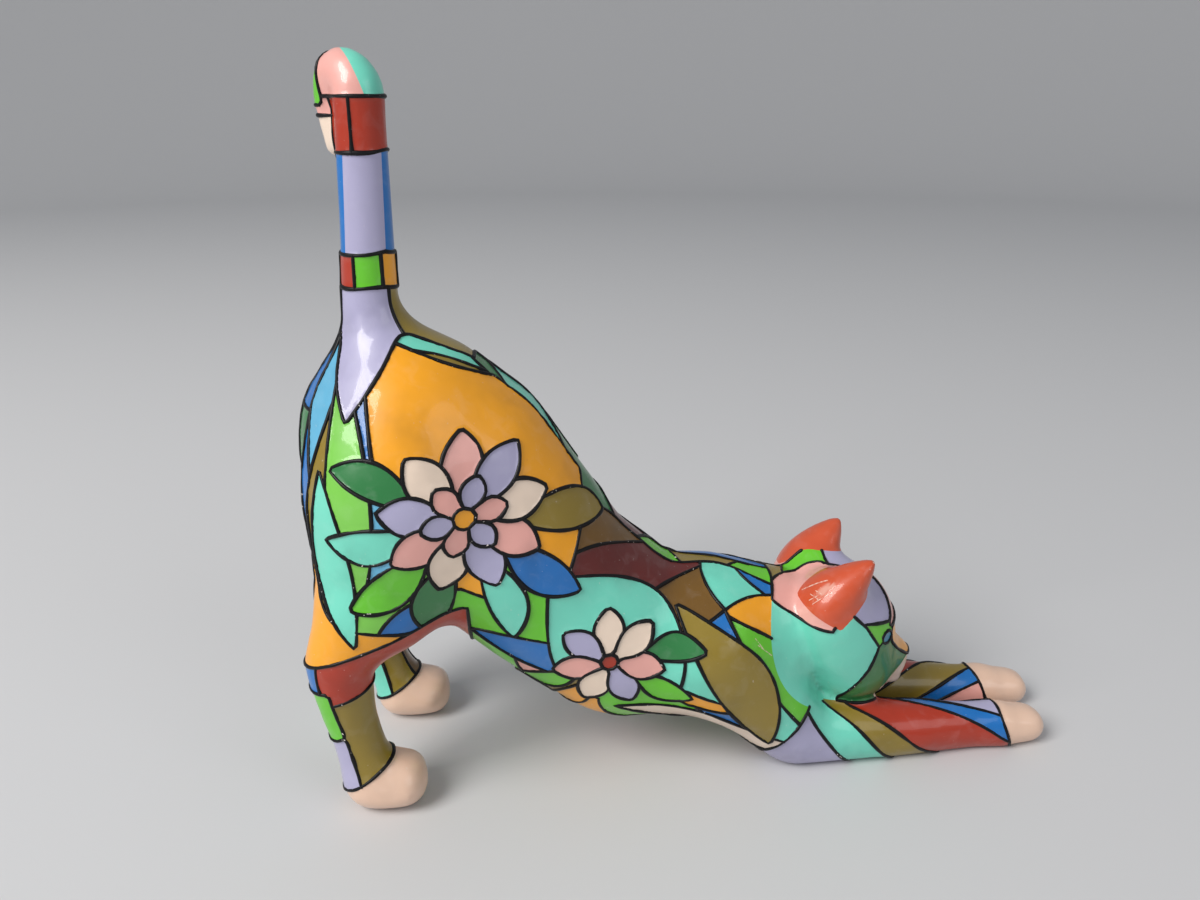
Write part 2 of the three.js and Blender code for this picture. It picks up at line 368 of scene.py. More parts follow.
for side in (-1, 1):
    for colour, *bounds in LEG_PANES[side]:
        cat.lay("hind", (colour,), on_side(side, leg_pane(side, *bounds)), "hind")
    end = 8 * side - 14 + sum(reach for reach, colour in ARM_STRIPS[side])
    for reach, colour in reversed(ARM_STRIPS[side]):
        cat.lay("fore", (colour,), on_side(side, short_of(side, end)), "fore")
        end -= reach

TAIL_X = -111.5
# Heights where the painted parts of the tail and its hook end
HOOK_FOOT, HOOK_SIDE_FOOT, HOOK_TIP_TOP = 235.5, 233, 230
RED_TOP, RED_FOOT, LONG_FOOT, SQUARES_FOOT = 240, 220, 189.8, 178.9


def from_stem(points):
    """How far points lie from the upright part of the tail towards its hanging tip."""
    return (points[:, 1] - points[:, 0] - 111.3) / math.sqrt(2)


def hanging(points):
    """Negative on the part of the hook that hangs down beside the upright part of the tail."""
    return 8.3 + 5 * np.maximum(212 - points[:, 2], 0) - from_stem(points)


def tail_ring(low, high):
    """The upright part of the tail between two heights."""
    def field(points):
        x, y, z = points.T
        height = z + 0.5 * wave(x + y, 5, low)
        return np.maximum.reduce([low - height, height - high, -hanging(points)])
    return field


def round_tail(middle, half, twist=0.0):
    """The part of the tail that faces an angle round it, 0 being towards the head."""
    def field(points):
        x, y, z = points.T
        angle = np.degrees(np.arctan2(y, x - TAIL_X)) - middle - twist * (z - 190)
        return (np.abs(half_turn(angle)) - half) * 0.14
    return field


def hook_top(points):
    return np.maximum(HOOK_FOOT - points[:, 2], from_stem(points) - 40)


def hook_back(points):
    x, y, z = points.T
    return -110.5 - 0.33 * (z - 236) - x - 0.3 * y


def hook_side(points):
    return np.maximum(HOOK_SIDE_FOOT - points[:, 2], 11.2 - from_stem(points))


cat.lay("hook", (PINK,), hook_top, "tail")
cat.lay("hook", (PINK,), hanging, "tail")
cat.lay("hook back", (TURQUOISE,), hook_back, "hook")
cat.lay("hook side", (GREEN,), hook_side, "hook")
cat.lay("hook tip", (CREAM,), lambda p: p[:, 2] - HOOK_TIP_TOP, "hook")
cat.lay("tail red", (TERRACOTTA,), tail_ring(RED_FOOT, RED_TOP), "tail")
cat.cut(round_tail(-158, 55), "tail red")
cat.lay("tail long", (BLUE,), tail_ring(LONG_FOOT, RED_FOOT), "tail")
for middle, half in ((-91, 47), (95, 40)):
    cat.lay("tail long", (LILAC,), round_tail(middle, half, 0.3), "tail long")
cat.lay("tail squares", (GREEN,), tail_ring(SQUARES_FOOT, LONG_FOOT), "tail")
for middle, colour in (
    (-148, TERRACOTTA), (-28, ORANGE), (34, TURQUOISE), (96, TERRACOTTA), (154, ORANGE),
):
    cat.lay("tail squares", (colour,), round_tail(middle, 30), "tail squares")


def tail_foot(points):
    """Three pointed tongues that run down from the tail on to the rump."""
    x, y, z = points.T
    angle = np.radians(np.degrees(np.arctan2(y, x - TAIL_X)) + 105)
    return (141 + 24 * np.abs(np.sin(1.5 * angle)) ** 0.9 - z) * 0.8


cat.lay("tail foot", (LILAC,), tail_foot, "tail")
for middle, colour in ((15, OLIVE), (135, TURQUOISE)):
    cat.lay("tail foot", (colour,), round_tail(middle, 60), "tail foot")
cat.lay("trunk", (BLUE,), everywhere, "tail")

# Trunk
# The body of the casting, painted in long wavy strips along the back, the flanks and the belly.
# Slanting outlines cut them into leaf-like panes: greens and browns above, pink and blue below.

PALE_GREEN = paint(120, 198, 72)
DARK_GREEN = paint(40, 120, 62)
DARK_RED = paint(96, 16, 8)
AXES["trunk"] = BentAxis(18, (-112, 0, 165), (-108, 0, 150), (-103, 0, 129), (-87, 0, 116),
                         (-72, 0, 92), (-56, 0, 71), (-31, 0, 50), (-1, 0, 45), (34, 0, 48), (52, 0, 45))
# The strips from the belly up over the back and down again, and the places along the trunk where
# each kind of strip goes over to its next choice of paints
STRIPS = ("low", "flank", "upper", "back", "ridge", "back", "upper", "flank", "low")
ZONES = (45, 95, 135, 180)
STRIP_SPAN, FIRST_EDGE, FIRST_MIDDLE = 37.6, -169, -150
TRUNK_LENGTH, HALF_PANE = 225, 12
SEED = 11
PAINTS = {
    "ridge": ((TURQUOISE, DARK_GREEN), (DARK_GREEN, TURQUOISE), (DARK_RED, DARK_GREEN),
              (BROWN, DARK_RED, GREEN), (GREEN, TURQUOISE, OLIVE)),
    "back": ((OLIVE, TURQUOISE), (TURQUOISE, DARK_GREEN, OLIVE), (DARK_RED, BROWN),
             (BROWN, BLUE), (BLUE, DARK_GREEN, TURQUOISE)),
    "upper": ((LILAC, ORANGE), (ORANGE, OLIVE), (ORANGE, BROWN, TURQUOISE),
              (TURQUOISE, BROWN, BLUE), (BLUE, DARK_GREEN, ORANGE)),
    "flank": ((PALE_GREEN, SKY), (PALE_GREEN, DARK_GREEN), (GREEN, BLUE, TURQUOISE),
              (TURQUOISE, GREEN, BLUE), (ORANGE, OLIVE, DARK_GREEN, TURQUOISE)),
    "low": ((SKY, BLUE), (BLUE, ORANGE), (PINK, GREEN),
            (GREEN, ORANGE, PINK), (OLIVE, CREAM, PINK, LILAC)),
}


def edge_angle(number, along):
    """The wandering outline between two strips of the trunk."""
    middle = FIRST_EDGE + STRIP_SPAN * number
    return middle + 16 * wave(along, 26, 2.1 * number) + 8 * wave(along, 12, 1.3 * number)


def trunk_strip(number):
    """One of the long strips, between its two outlines."""
    def field(points):
        along, angle, distance = AXES["trunk"].measure(points)
        first, last = edge_angle(number, along), edge_angle(number + 1, along)
        gap = np.abs(half_turn(angle - (first + last) / 2)) - (last - first) / 2
        return gap * distance * math.pi / 180
    return field


def beyond(middle, place, slope):
    """The part of the trunk past an outline across a strip, slanting and a little curved."""
    def field(points):
        along, angle, distance = AXES["trunk"].measure(points)
        across = half_turn(angle - middle) * distance * math.pi / 180
        return place + slope * across + 0.03 * across**2 - along
    return field


rng = np.random.default_rng(SEED)
cat.lay("trunk", (ORANGE,), beyond(180, 62, 0.5), "trunk")
cat.lay("trunk", (PINK,), beyond(180, 108, -0.6), "trunk")
strips = tuple("strip" + str(number) for number in range(len(STRIPS)))
for number, band in enumerate(STRIPS):
    middle = FIRST_MIDDLE + STRIP_SPAN * number
    cat.lay(strips[number], PAINTS[band][0], trunk_strip(number), "trunk")
    place = rng.uniform(18, 36)
    while place < TRUNK_LENGTH:
        paints = PAINTS[band][sum(place + HALF_PANE > limit for limit in ZONES)]
        slope = rng.choice((-1, 1)) * rng.uniform(0.6, 1.5)
        cat.lay(strips[number], paints, beyond(middle, place, slope), strips[number])
        place += rng.uniform(24, 40)

# Blossoms
# Daisies painted on the casting, a large one on each haunch and a small one on each side of the
# chest, with leaves round them. Each lies on a broad plain pane.

# The leaves of each daisy: angle, length, width, colour and bend
HAUNCH_LEAVES = (
    (-172, 30, 12, TURQUOISE, 3), (-142, 34, 13, GREEN, 3), (-106, 32, 13, DARK_GREEN, -3),
    (-74, 36, 13, TURQUOISE, 3), (-40, 34, 13, BLUE, -2), (-12, 33, 12, OLIVE, 3),
    (158, 30, 11, DARK_GREEN, -3),
)
CHEST_LEAVES = (
    (-160, 24, 9.5, GREEN, 3), (-128, 24, 9.5, ORANGE, 2), (-30, 24, 9.5, GREEN, -2),
    (4, 24, 9.5, DARK_GREEN, 2),
)
# Their rings of petals from the outside in: how many, the angle of the first, how far out they
# start, their length and width, and the colours that they take in turn
HAUNCH_PETALS = ((9, 90, 4, 23, 12.5, (PINK, CREAM, LILAC)), (6, 70, 2, 12, 8, (LILAC, PINK)))
CHEST_PETALS = ((7, 90, 2, 18, 10.5, (CREAM, LILAC, PINK)),)
# Three long leaves over the shoulder: colour, root, angle, start, length, width and bend
SHOULDER_LEAVES = (
    (OLIVE, -14, 70, -58, 0, 66, 20, 5), (GREEN, 4, 66, -56, 0, 60, 13, 4),
    (CREAM, -36, 33, -22, 0, 62, 11, 3),
)


def on_flank(side, field):
    """A field of places along and up a flank, for that side of the body and the outside of the leg."""
    def of_points(points):
        along, across, up = points.T
        inner = 6 + 0.4 * np.clip(105 - up, 0, 35) * (along < -98)
        return np.where(across * side > inner, field(along, up), ELSEWHERE)
    return of_points


def leaf(x, z, angle, start, length, width, bend=0.0, full=0.2):
    """A pointed leaf or petal that grows away from a point at an angle, fullest past its middle."""
    turn = math.radians(angle)

    def field(along, up):
        out = (along - x) * math.cos(turn) + (up - z) * math.sin(turn)
        across = (up - z) * math.cos(turn) - (along - x) * math.sin(turn)
        part = 2 * (out - start) / length - 1
        room = (1 - part**2) * (1 + full * np.clip(part, -1, 1))
        return np.abs(across - bend * room) - width / 2 * room
    return field


def disc(x, z, radius):
    """The round heart of a daisy."""
    return lambda along, up: np.hypot(along - x, up - z) - radius


def lay_flank(side, group, colour, field, *over):
    """Lays a pane of one paint on a flank."""
    cat.lay(group, (colour,), on_flank(side, field), *over)


def lay_daisy(side, centre, leaves, root, petals, heart, heart_colour, *over):
    """Lays the leaves of a daisy, which start at root from its centre, its petals and its heart."""
    for angle, length, width, colour, bend in leaves:
        lay_flank(side, "leaf", colour, leaf(*centre, angle, root, length, width, bend), *over)
    for count, turned, inset, length, width, colours in petals:
        for number in range(count):
            petal = leaf(*centre, turned + 360 / count * number, inset, length, width)
            lay_flank(side, "petal", colours[number % len(colours)], petal, *over)
    lay_flank(side, "petal", heart_colour, disc(*centre, heart), *over)


for side in (-1, 1):
    haunch, chest = (-86 - 2 * side, 112), (-35 + 3 * side, 54)
    under = ("trunk",) + strips
    lay_flank(side, "ground", ORANGE, leaf(-115, 168, -57, 0, 108, 56, 4, 0.5), *under)
    lay_flank(side, "chest ground", TURQUOISE, leaf(-58, 88, -48, 0, 66, 44, -3, 0.3), "ground", *under)
    for colour, *shape in SHOULDER_LEAVES:
        lay_flank(side, "shoulder", colour, leaf(*shape), *under)
    under += ("ground", "chest ground", "shoulder", "leaf", "petal")
    lay_flank(side, "rump", PALE_GREEN, leaf(-121, 160, -93, 0, 92, 15, 4, 0.1), *under)
    under += ("rump",)
    lay_flank(side, "rump", TURQUOISE, leaf(-128, 128, -83, 0, 60, 12, -2, 0.2), *under)
    lay_daisy(side, haunch, HAUNCH_LEAVES, 14, HAUNCH_PETALS, 3.6, ORANGE, *under)
    lay_daisy(side, chest, CHEST_LEAVES, 10, CHEST_PETALS, 3.2, TERRACOTTA, *under)

# Face and ears
# The head of the casting, painted in broad areas: turquoise cheeks, dark green jaws, a lilac
# forehead, an orange nose, a green band between the ears and pink round them. The ears are all
# one orange-red.

EAR = paint(204, 80, 42)
TEAL = paint(20, 126, 158)
# Corners of a cheek, forwards and up
CHEEK = ((14, 69), (20, 38), (34, 20), (49, 23), (58, 40), (61, 49), (55, 58), (47, 66))
EAR_HEIGHT, EAR_WIDE, EAR_THICK = 26.5, 12.5, 10.5
EYE_AT, EYE_OUT, EYE_LEVEL, EYE_LONG, EYE_HIGH = 65.1, 19.4, 51.1, 3.6, 2.3
# Heights above the floor where one pane of the face gives way to the next
THROAT_TOP, JAW_TOP, CHIN_PANE_TOP, NOSE_TIP, NOSE_TOP = 33, 50, 34.5, 34.7, 55.5
BROW_FOOT, FOREHEAD_FOOT, EAR_BASE_FOOT = 54, 59.2, 58.6


def beside(corners):
    """A patch on both sides of the head, with these corners seen from the side."""
    corners = np.array(corners, float)
    step = unit(np.roll(corners, -1, axis=0) - corners)

    def field(points):
        x, z = points[:, [0]], points[:, [2]]
        over = (x - corners[:, 0]) * step[:, 1] - (z - corners[:, 1]) * step[:, 0]
        return np.maximum(over.max(1), 7 - np.abs(points[:, 1]))
    return field


def crown(points):
    """The back of the head, up to the ears."""
    x, y, z = points.T
    return np.maximum(x - 30 - 0.25 * np.abs(y), JAW_TOP - z)


def jaw(points):
    """The side of the muzzle below the eye."""
    x, y, z = points.T
    return np.maximum(z - JAW_TOP - 0.1 * (x - 60), 49 - x + 0.47 * (z - 24))


def forehead(points):
    """The head above the eyes."""
    x, y, z = points.T
    return np.maximum(FOREHEAD_FOOT - 0.26 * (x - 54.9) - z, 47 - x)


def ear_base(points):
    """The pink round each ear. It stops at the cheek, and at a green band that slants between them."""
    x, y, z = points.T
    ball = np.sqrt((x - 36) ** 2 + (np.abs(y) - 15) ** 2 + (z - 68) ** 2) - 18
    below = EAR_BASE_FOOT + 0.022 * (41 - x) ** 2 - z
    right, left = y - 3 + 0.045 * (39 - x) ** 2, 9 + 0.012 * (x - 36) ** 2 - y
    front = x - 42.3 - 1.1 * np.clip(z - 61, 0, 7)
    return np.maximum.reduce([ball, below, front, np.minimum(right, left)])


def brow(points):
    """A pointed pane up the middle of the forehead."""
    x, y, z = points.T
    return np.maximum.reduce([np.abs(y) - 17.6 + 1.05 * (z - 55), BROW_FOOT - z, 60 - x])


def nose(points):
    """A shield from eye to eye that narrows to the tip of the nose."""
    x, y, z = points.T
    room = np.minimum(5.8 + 0.87 * (z - NOSE_TIP), 17)
    return np.maximum.reduce([np.abs(y) - room, z - NOSE_TOP + 0.01 * y**2, NOSE_TIP - z, 61 - x])


def chin(points):
    """The front of the muzzle below the nose."""
    x, y, z = points.T
    return np.maximum.reduce([78.7 - 2 * (34.1 - z) - x, z - CHIN_PANE_TOP, 66 - x])


def ear(points):
    """The horn of an ear, as it stands on the skull on each side."""
    axis = unit(np.array([0.42, 0.1, 0.88]))
    front = np.array([0.82, 0.34, -0.43])
    front = unit(front - front @ axis * axis)
    place = points * (1, 0, 1) + np.abs(points) * (0, 1, 0) - (42.2, 14.5, 61.5)
    across, lean, up = place @ np.cross(front, axis), place @ front, place @ axis
    part = np.clip(up / EAR_HEIGHT, 0, 1)
    girth = np.hypot(across / EAR_WIDE, (lean - 5 * part**2) / EAR_THICK)
    return np.maximum(10 * (girth - (1 - part**1.8) ** 0.9) - 0.9, -up)


def eye(side):
    """A small almond on one side of the face."""
    def field(points):
        x, y, z = points.T
        out, up = (x - EYE_AT) * 0.75 - (y * side - EYE_OUT) * 0.66, z - EYE_LEVEL
        return np.where(y * side > 8, np.hypot(out / EYE_LONG, up / EYE_HIGH) - 1, ELSEWHERE)
    return field


cat.lay("crown", (OLIVE,), crown, "head")
cat.lay("jaw", (DARK_GREEN,), jaw, "head")
cat.lay("jaw", (DARK_GREEN,), lambda p: p[:, 2] - THROAT_TOP, "head")
cat.lay("forehead", (LILAC,), forehead, "head", "jaw")
cat.lay("cheek", (TURQUOISE,), beside(CHEEK), "head", "jaw", "forehead", "crown")
cat.lay("ear base", (PINK,), ear_base, "head", "cheek", "forehead", "crown")
cat.lay("brow", (PINK,), brow, "forehead", "head")
cat.lay("nose", (ORANGE,), nose, "head", "jaw", "forehead", "brow")
cat.lay("chin", (CREAM,), chin, "jaw", "head", "nose")
cat.cut(lambda p: p[:, 1], "chin")
cat.lay("ear", (EAR,), ear, "head", "ear base", "cheek", "forehead", "brow", "crown", "trunk", *strips)
for side in (-1, 1):
    cat.lay("eye", (TEAL,), eye(side), "head", "jaw", "forehead", "cheek", "nose", "brow")

# Panes
# The enamelled skin, the piece that is seen. Each pane is a patch of one paint, a little lower
# than the skin of the casting, and the enamel rises to the outlines. Scraps of panes join the
# neighbour that they touch most, and no pane has its neighbour's paint where there is a choice.

SCRAP_AREA, SCRAP_WIDTH, SCRAP_ROUNDS = 14, 0.9, 3
PANE_DEPTH, LINE_RISE, SOLE_EDGE = 0.25, 0.3, 0.7
SPARE = (ORANGE, GREEN, DARK_GREEN, TURQUOISE, LILAC, OLIVE, BLUE, PINK)
# Groups whose panes meet those of the cheek with no line between
BODY = {"trunk", "fore", "shoulder", *strips}
# Groups that keep their shape: a scrap joins one only where it touches nothing else
SHAPED = ("leaf", "petal", "eye")


def joined(count, pairs):
    """Gives each of so many things the number of its group. Each pair joins two of the things."""
    lowest = np.arange(count)
    while True:
        least = np.minimum(lowest[pairs[:, 0]], lowest[pairs[:, 1]])
        after = lowest.copy()
        np.minimum.at(after, pairs[:, 0], least)
        np.minimum.at(after, pairs[:, 1], least)
        after = after[after]
        if np.array_equal(after, lowest):
            return np.unique(lowest, return_inverse=True)[1]
        lowest = after


# Every edge between two faces, found by sorting the sides of all the faces
corners = cat.points[cat.faces]
across = np.cross(corners[:, 1] - corners[:, 0], corners[:, 2] - corners[:, 0])
area = np.linalg.norm(across, axis=1) / 2
sides = np.sort(np.stack([cat.faces, np.roll(cat.faces, -1, axis=1)], axis=2).reshape(-1, 2), axis=1)
key = sides[:, 0] * len(cat.points) + sides[:, 1]
order = np.argsort(key, kind="stable")
repeated = np.flatnonzero(key[order][1:] == key[order][:-1])
first, second = order[repeated], order[repeated + 1]
edge = sides[first]
beside_edge = np.stack([first // 3, second // 3], axis=1)
length = np.linalg.norm(cat.points[edge[:, 0]] - cat.points[edge[:, 1]], axis=1)

# Each patch of faces of one style is a pane
same = cat.pane[beside_edge[:, 0]] == cat.pane[beside_edge[:, 1]]
panel = joined(len(cat.faces), beside_edge[same])
style = np.empty(panel.max() + 1, int)
style[panel] = cat.pane
for _ in range(SCRAP_ROUNDS):
    size = np.bincount(panel, area)
    touching = {}
    outline = panel[beside_edge[:, 0]] != panel[beside_edge[:, 1]]
    pairs = np.sort(panel[beside_edge[outline]], axis=1)
    for (one, other), run in zip(pairs, length[outline]):
        for near, far in ((one, other), (other, one)):
            met = touching.setdefault(near, {})
            met[far] = met.get(far, 0.0) + run
    for small in np.argsort(size):
        met = touching.get(small, {})
        slight = size[small] < max(SCRAP_AREA, SCRAP_WIDTH * sum(met.values()))
        if met and slight and size[small] > 0 and cat.styles[style[small]][0] != "eye":
            loose = [other for other in met if cat.styles[style[other]][0] not in SHAPED]
            target = max(loose or met, key=met.get)
            if size[target] > size[small]:
                panel[panel == small] = target

pane_paint = {}
size = np.bincount(panel, area)
for number in np.argsort(-size):
    if size[number] == 0:
        continue
    taken = [pane_paint.get(other) for other in touching.get(number, {})]
    paints = cat.styles[style[number]][1]
    free = [colour for colour in paints if colour not in taken]
    free = free or [colour for colour in SPARE if colour not in taken] or paints
    pane_paint[number] = paints[0] if len(paints) == 1 else free[rng.integers(len(free))]

names = sorted({name for name, paints in cat.styles})
group = np.array([names.index(name) for name, paints in cat.styles])[style[panel]]


def unlined(one, other):
    """Whether the paints of two groups meet with no line between them."""
    both = {one, other}
    if both == {"tail long"} or both == {"hook", "hook back"} or "ear" in both:
        return True
    return len(both) == 2 and ("chin" in both or ("cheek" in both and bool(both & BODY)))


no_line = np.array([[unlined(one, other) for one in names] for other in names])
outlined = panel[beside_edge[:, 0]] != panel[beside_edge[:, 1]]
outlined &= ~no_line[group[beside_edge[:, 0]], group[beside_edge[:, 1]]]
outlined &= cat.points[edge][:, :, 2].max(1) > SOLE_EDGE
edge = edge[outlined]

normal = np.zeros_like(cat.points)
for corner in range(3):
    np.add.at(normal, cat.faces[:, corner], across)
normal = unit(normal)
ridge = np.zeros(len(cat.points))
ridge[edge] = 1
raised = cat.points + normal * (LINE_RISE * ridge - PANE_DEPTH)[:, None]
raised[:, 2] = np.maximum(raised[:, 2], 0)

colours = np.zeros((panel.max() + 1, 4))
for number, colour in pane_paint.items():
    colours[number] = (*colour, 1)
body_mesh = bpy.data.meshes.new("cat_body")
body_mesh.from_pydata((raised * METRES).tolist(), [], cat.faces.tolist())
for title, kind, domain, prop, values in (
    ("paint", "FLOAT_COLOR", "CORNER", "color", np.repeat(colours[panel], 3, axis=0)),
    ("ridge", "FLOAT", "POINT", "value", ridge),
):
    layer = body_mesh.attributes.new(title, kind, domain)
    layer.data.foreach_set(prop, values.astype(np.float32).ravel())
body_mesh.polygons.foreach_set("use_smooth", np.ones(len(body_mesh.polygons), bool))
body_mesh.validate()
body = stand("cat_body", body_mesh)


def add_node(tree, kind, settings=None, **inputs):
    """Adds a node to a tree: its type, its settings, and then the value or the link of each input.
    An input goes by its name, or by its number where names repeat."""
    node = tree.nodes.new(kind)
    for setting, value in (settings or {}).items():
        setattr(node, setting, value)
    for title, value in inputs.items():
        socket = node.inputs[int(title[1:]) if title[0] == "_" else title.replace("_", " ")]
        if isinstance(value, Signal):
            value = value.socket
        if isinstance(value, bpy.types.NodeSocket):
            tree.links.new(value, socket)
        else:
            socket.default_value = value
    return node


class Signal:
    """A value or a colour on its way through a material's nodes. Arithmetic on it adds the nodes."""

    def __init__(self, tree, socket):
        self.tree = tree
        self.socket = socket

    def maths(self, operation, first, second):
        node = add_node(self.tree, "ShaderNodeMath", {"operation": operation}, _0=first, _1=second)
        return Signal(self.tree, node.outputs[0])

    def __add__(self, other):
        return self.maths("ADD", self, other)

    def __radd__(self, other):
        return self.maths("ADD", other, self)

    def __sub__(self, other):
        return self.maths("SUBTRACT", self, other)

    def __rsub__(self, other):
        return self.maths("SUBTRACT", other, self)

    def __mul__(self, other):
        return self.maths("MULTIPLY", self, other)

    def __rmul__(self, other):
        return self.maths("MULTIPLY", other, self)

    def __truediv__(self, other):
        return self.maths("DIVIDE", self, other)

    def __rtruediv__(self, other):
        return self.maths("DIVIDE", other, self)

    def larger(self, other):
        return self.maths("MAXIMUM", self, other)

    def smaller(self, other):
        return self.maths("MINIMUM", self, other)

    def between(self, low, high):
        """0 below low, 1 above high, and a smooth step from one to the other."""
        node = add_node(self.tree, "ShaderNodeMapRange", {"interpolation_type": "SMOOTHSTEP"},
                        Value=self, From_Min=low, From_Max=high)
        return Signal(self.tree, node.outputs["Result"])

    def tinted(self, factor, colour):
        """This colour, going over to another one as factor goes from 0 to 1."""
        node = add_node(self.tree, "ShaderNodeMix", {"data_type": "RGBA"}, Factor=factor, A=self, B=colour)
        return Signal(self.tree, node.outputs["Result"])


class Finish:
    """A material with one shader, and the nodes that feed it."""

    def __init__(self, name, **constants):
        self.material = bpy.data.materials.new(name)
        self.material.use_nodes = True
        self.tree = self.material.node_tree
        self.shader = self.tree.nodes["Principled BSDF"]
        for socket, value in constants.items():
            self.shader.inputs[socket.replace("_", " ")].default_value = value

    def node(self, kind, output=0, settings=None, **inputs):
        """One output of any other node, as a signal."""
        return Signal(self.tree, add_node(self.tree, kind, settings, **inputs).outputs[output])

    def vector(self, operation, first, second=(0, 0, 0), output="Vector"):
        return self.node("ShaderNodeVectorMath", output, {"operation": operation}, _0=first, _1=second)

    def flat(self, place, facing):
        """A place as it is seen against one direction, so that a stroke follows a curved surface."""
        depth = self.vector("DOT_PRODUCT", place, facing, "Value")
        return self.vector("SUBTRACT", place, self.scaled(facing, depth))

    def scaled(self, direction, amount):
        """A vector made longer or shorter."""
        return self.node("ShaderNodeVectorMath", 0, {"operation": "SCALE"}, _0=direction, Scale=amount)

    def from_point(self, place, point):
        """How far a place is from a point in millimetres."""
        return self.vector("DISTANCE", place, Vector(point) * METRES, "Value") / METRES

    def from_stroke(self, place, start, end, facing):
        """How far a flattened place is from a straight stroke between two points in millimetres."""
        start, end = (Vector(point) * METRES for point in (start, end))
        start, end = start - facing * start.dot(facing), end - facing * end.dot(facing)
        stroke = end - start
        out = self.vector("SUBTRACT", place, start)
        share = self.vector("DOT_PRODUCT", out, stroke, "Value") / stroke.length_squared
        foot = self.scaled(stroke, share.larger(0.0).smaller(1.0))
        return self.vector("LENGTH", self.vector("SUBTRACT", out, foot), output="Value") / METRES

    def feed(self, socket, signal):
        self.tree.links.new(signal.socket, self.shader.inputs[socket])


BLACK, WHITE = (0, 0, 0, 1), (1, 1, 1, 1)
RESIN, SCRAPED = (0.78, 0.72, 0.66, 1), (0.86, 0.6, 0.5, 1)
enamel = Finish("enamel", IOR=1.5, Coat_Weight=0.45, Coat_Roughness=0.07)
place = enamel.node("ShaderNodeTexCoord", "Object")
coat = enamel.node("ShaderNodeAttribute", "Color", {"attribute_name": "paint"})
near_line = enamel.node("ShaderNodeAttribute", "Fac", {"attribute_name": "ridge"})
cloud = enamel.node("ShaderNodeTexNoise", 0, Vector=place, Scale=45.0, Detail=3.0)
brush = enamel.node("ShaderNodeTexNoise", 0, Vector=place, Scale=160.0, Detail=4.0, Distortion=0.8)
grain = enamel.node("ShaderNodeTexNoise", 0, Vector=place, Scale=700.0, Detail=2.0)
# Thinner and thicker paint, and darker beside the outlines: paint pooled against them, and painted shade
# at the foot of the raised lines
coat = coat.tinted(cloud.between(0.5, 0.8) * 0.22, BLACK)
coat = coat.tinted(brush.between(0.5, 0.75) * 0.03, WHITE)
# Painted shade along the foot of the raised outlines, where the paint also pools
coat = coat.tinted(near_line.between(0.5, 1.0) * 0.2, BLACK)
# Flecks where the paint has come off down to the pale resin, most of them beside the outlines
fleck = grain.between(0.73, 0.76) * (0.25 + near_line.between(0.1, 0.6)) * cloud.between(0.42, 0.5)
coat = coat.tinted(fleck, RESIN)
# The near ear has a long scratch, a rubbed patch crossed by short scratches and a chipped tip,
# and the neck below it has two more scratches. Each scratch on the ear has its ends and its width.
EAR_WORN, NECK_WORN, EAR_TIP = (38.5, -19, 71), (17, -27, 54), (57.6, -19.5, 82.2)
EAR_SCRATCHES = (
    ((33.7, -12.6, 68.6), (40.8, -18.5, 75), 0.32), ((34.5, -19.2, 67.8), (38.2, -21.4, 71.6), 0.22),
    ((35.1, -17.9, 69.6), (36.8, -21.6, 69.3), 0.2), ((36.9, -18.4, 71), (38.6, -21.8, 70.9), 0.2),
    ((38.4, -19, 72.4), (40, -22, 72.2), 0.2), ((35.1, -21.2, 67.3), (42.5, -23.2, 73.5), 0.2),
)
NECK_SCRATCHES = (((14, -27.2, 58), (17, -27.3, 53.5)), ((14.6, -27.4, 55.4), (20.5, -26.8, 50.5)))
outwards = Vector((-0.51, -0.61, 0.61)).normalized()
seen = enamel.flat(place, outwards)
rub = 1 - enamel.from_stroke(seen, (35.8, -20.4, 69), (41.3, -21, 74), outwards).between(0.6, 2.3)
scratch = rub * brush.between(0.42, 0.58) * 0.6
for start, end, width in EAR_SCRATCHES:
    mark = 1 - enamel.from_stroke(seen, start, end, outwards).between(0.4 * width, width)
    scratch = scratch.larger(mark * (0.4 + grain.between(0.4, 0.6)))
scratch = scratch * (1 - enamel.from_point(place, EAR_WORN).between(8, 10))
sideways = Vector((0.5, -0.78, 0.38)).normalized()
seen = enamel.flat(place, sideways)
neck = 1 - enamel.from_point(place, NECK_WORN).between(6, 8)
for start, end in NECK_SCRATCHES:
    mark = 1 - enamel.from_stroke(seen, start, end, sideways).between(0.1, 0.25)
    scratch = scratch.larger(mark * neck * grain.between(0.4, 0.5))
chip = 1 - (enamel.from_point(place, EAR_TIP) + brush).between(1.5, 1.8)
scratch = scratch.larger(chip)
coat = coat.tinted(scratch * 0.75, SCRAPED)
enamel.feed("Base Color", coat)
enamel.feed("Roughness", 0.22 + 0.2 * cloud + 0.14 * brush + 0.3 * scratch)
relief = cloud * 0.5 + brush * 0.25 + grain * 0.04 - scratch * 0.5 - fleck * 0.4
bump = enamel.node("ShaderNodeBump", 0, Height=relief, Strength=0.5, Distance=0.0005)
enamel.feed("Normal", bump)
body.data.materials.append(enamel.material)
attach(body, "root")
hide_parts("stretching_cat")

# Outlines
# Black lines of thick paint drawn by hand along every edge between two panes. They stand a little
# proud of the enamel and vary in width.

LINE_HALF_WIDTH, LINE_STEP = 0.67, 1.6
used, ends = np.unique(edge, return_inverse=True)
line_mesh = bpy.data.meshes.new("cat_outlines")
level = (raised[used] - LINE_RISE * normal[used]) * METRES
line_mesh.from_pydata(level.tolist(), ends.reshape(-1, 2).tolist(), [])
lines = stand("cat_outlines", line_mesh)

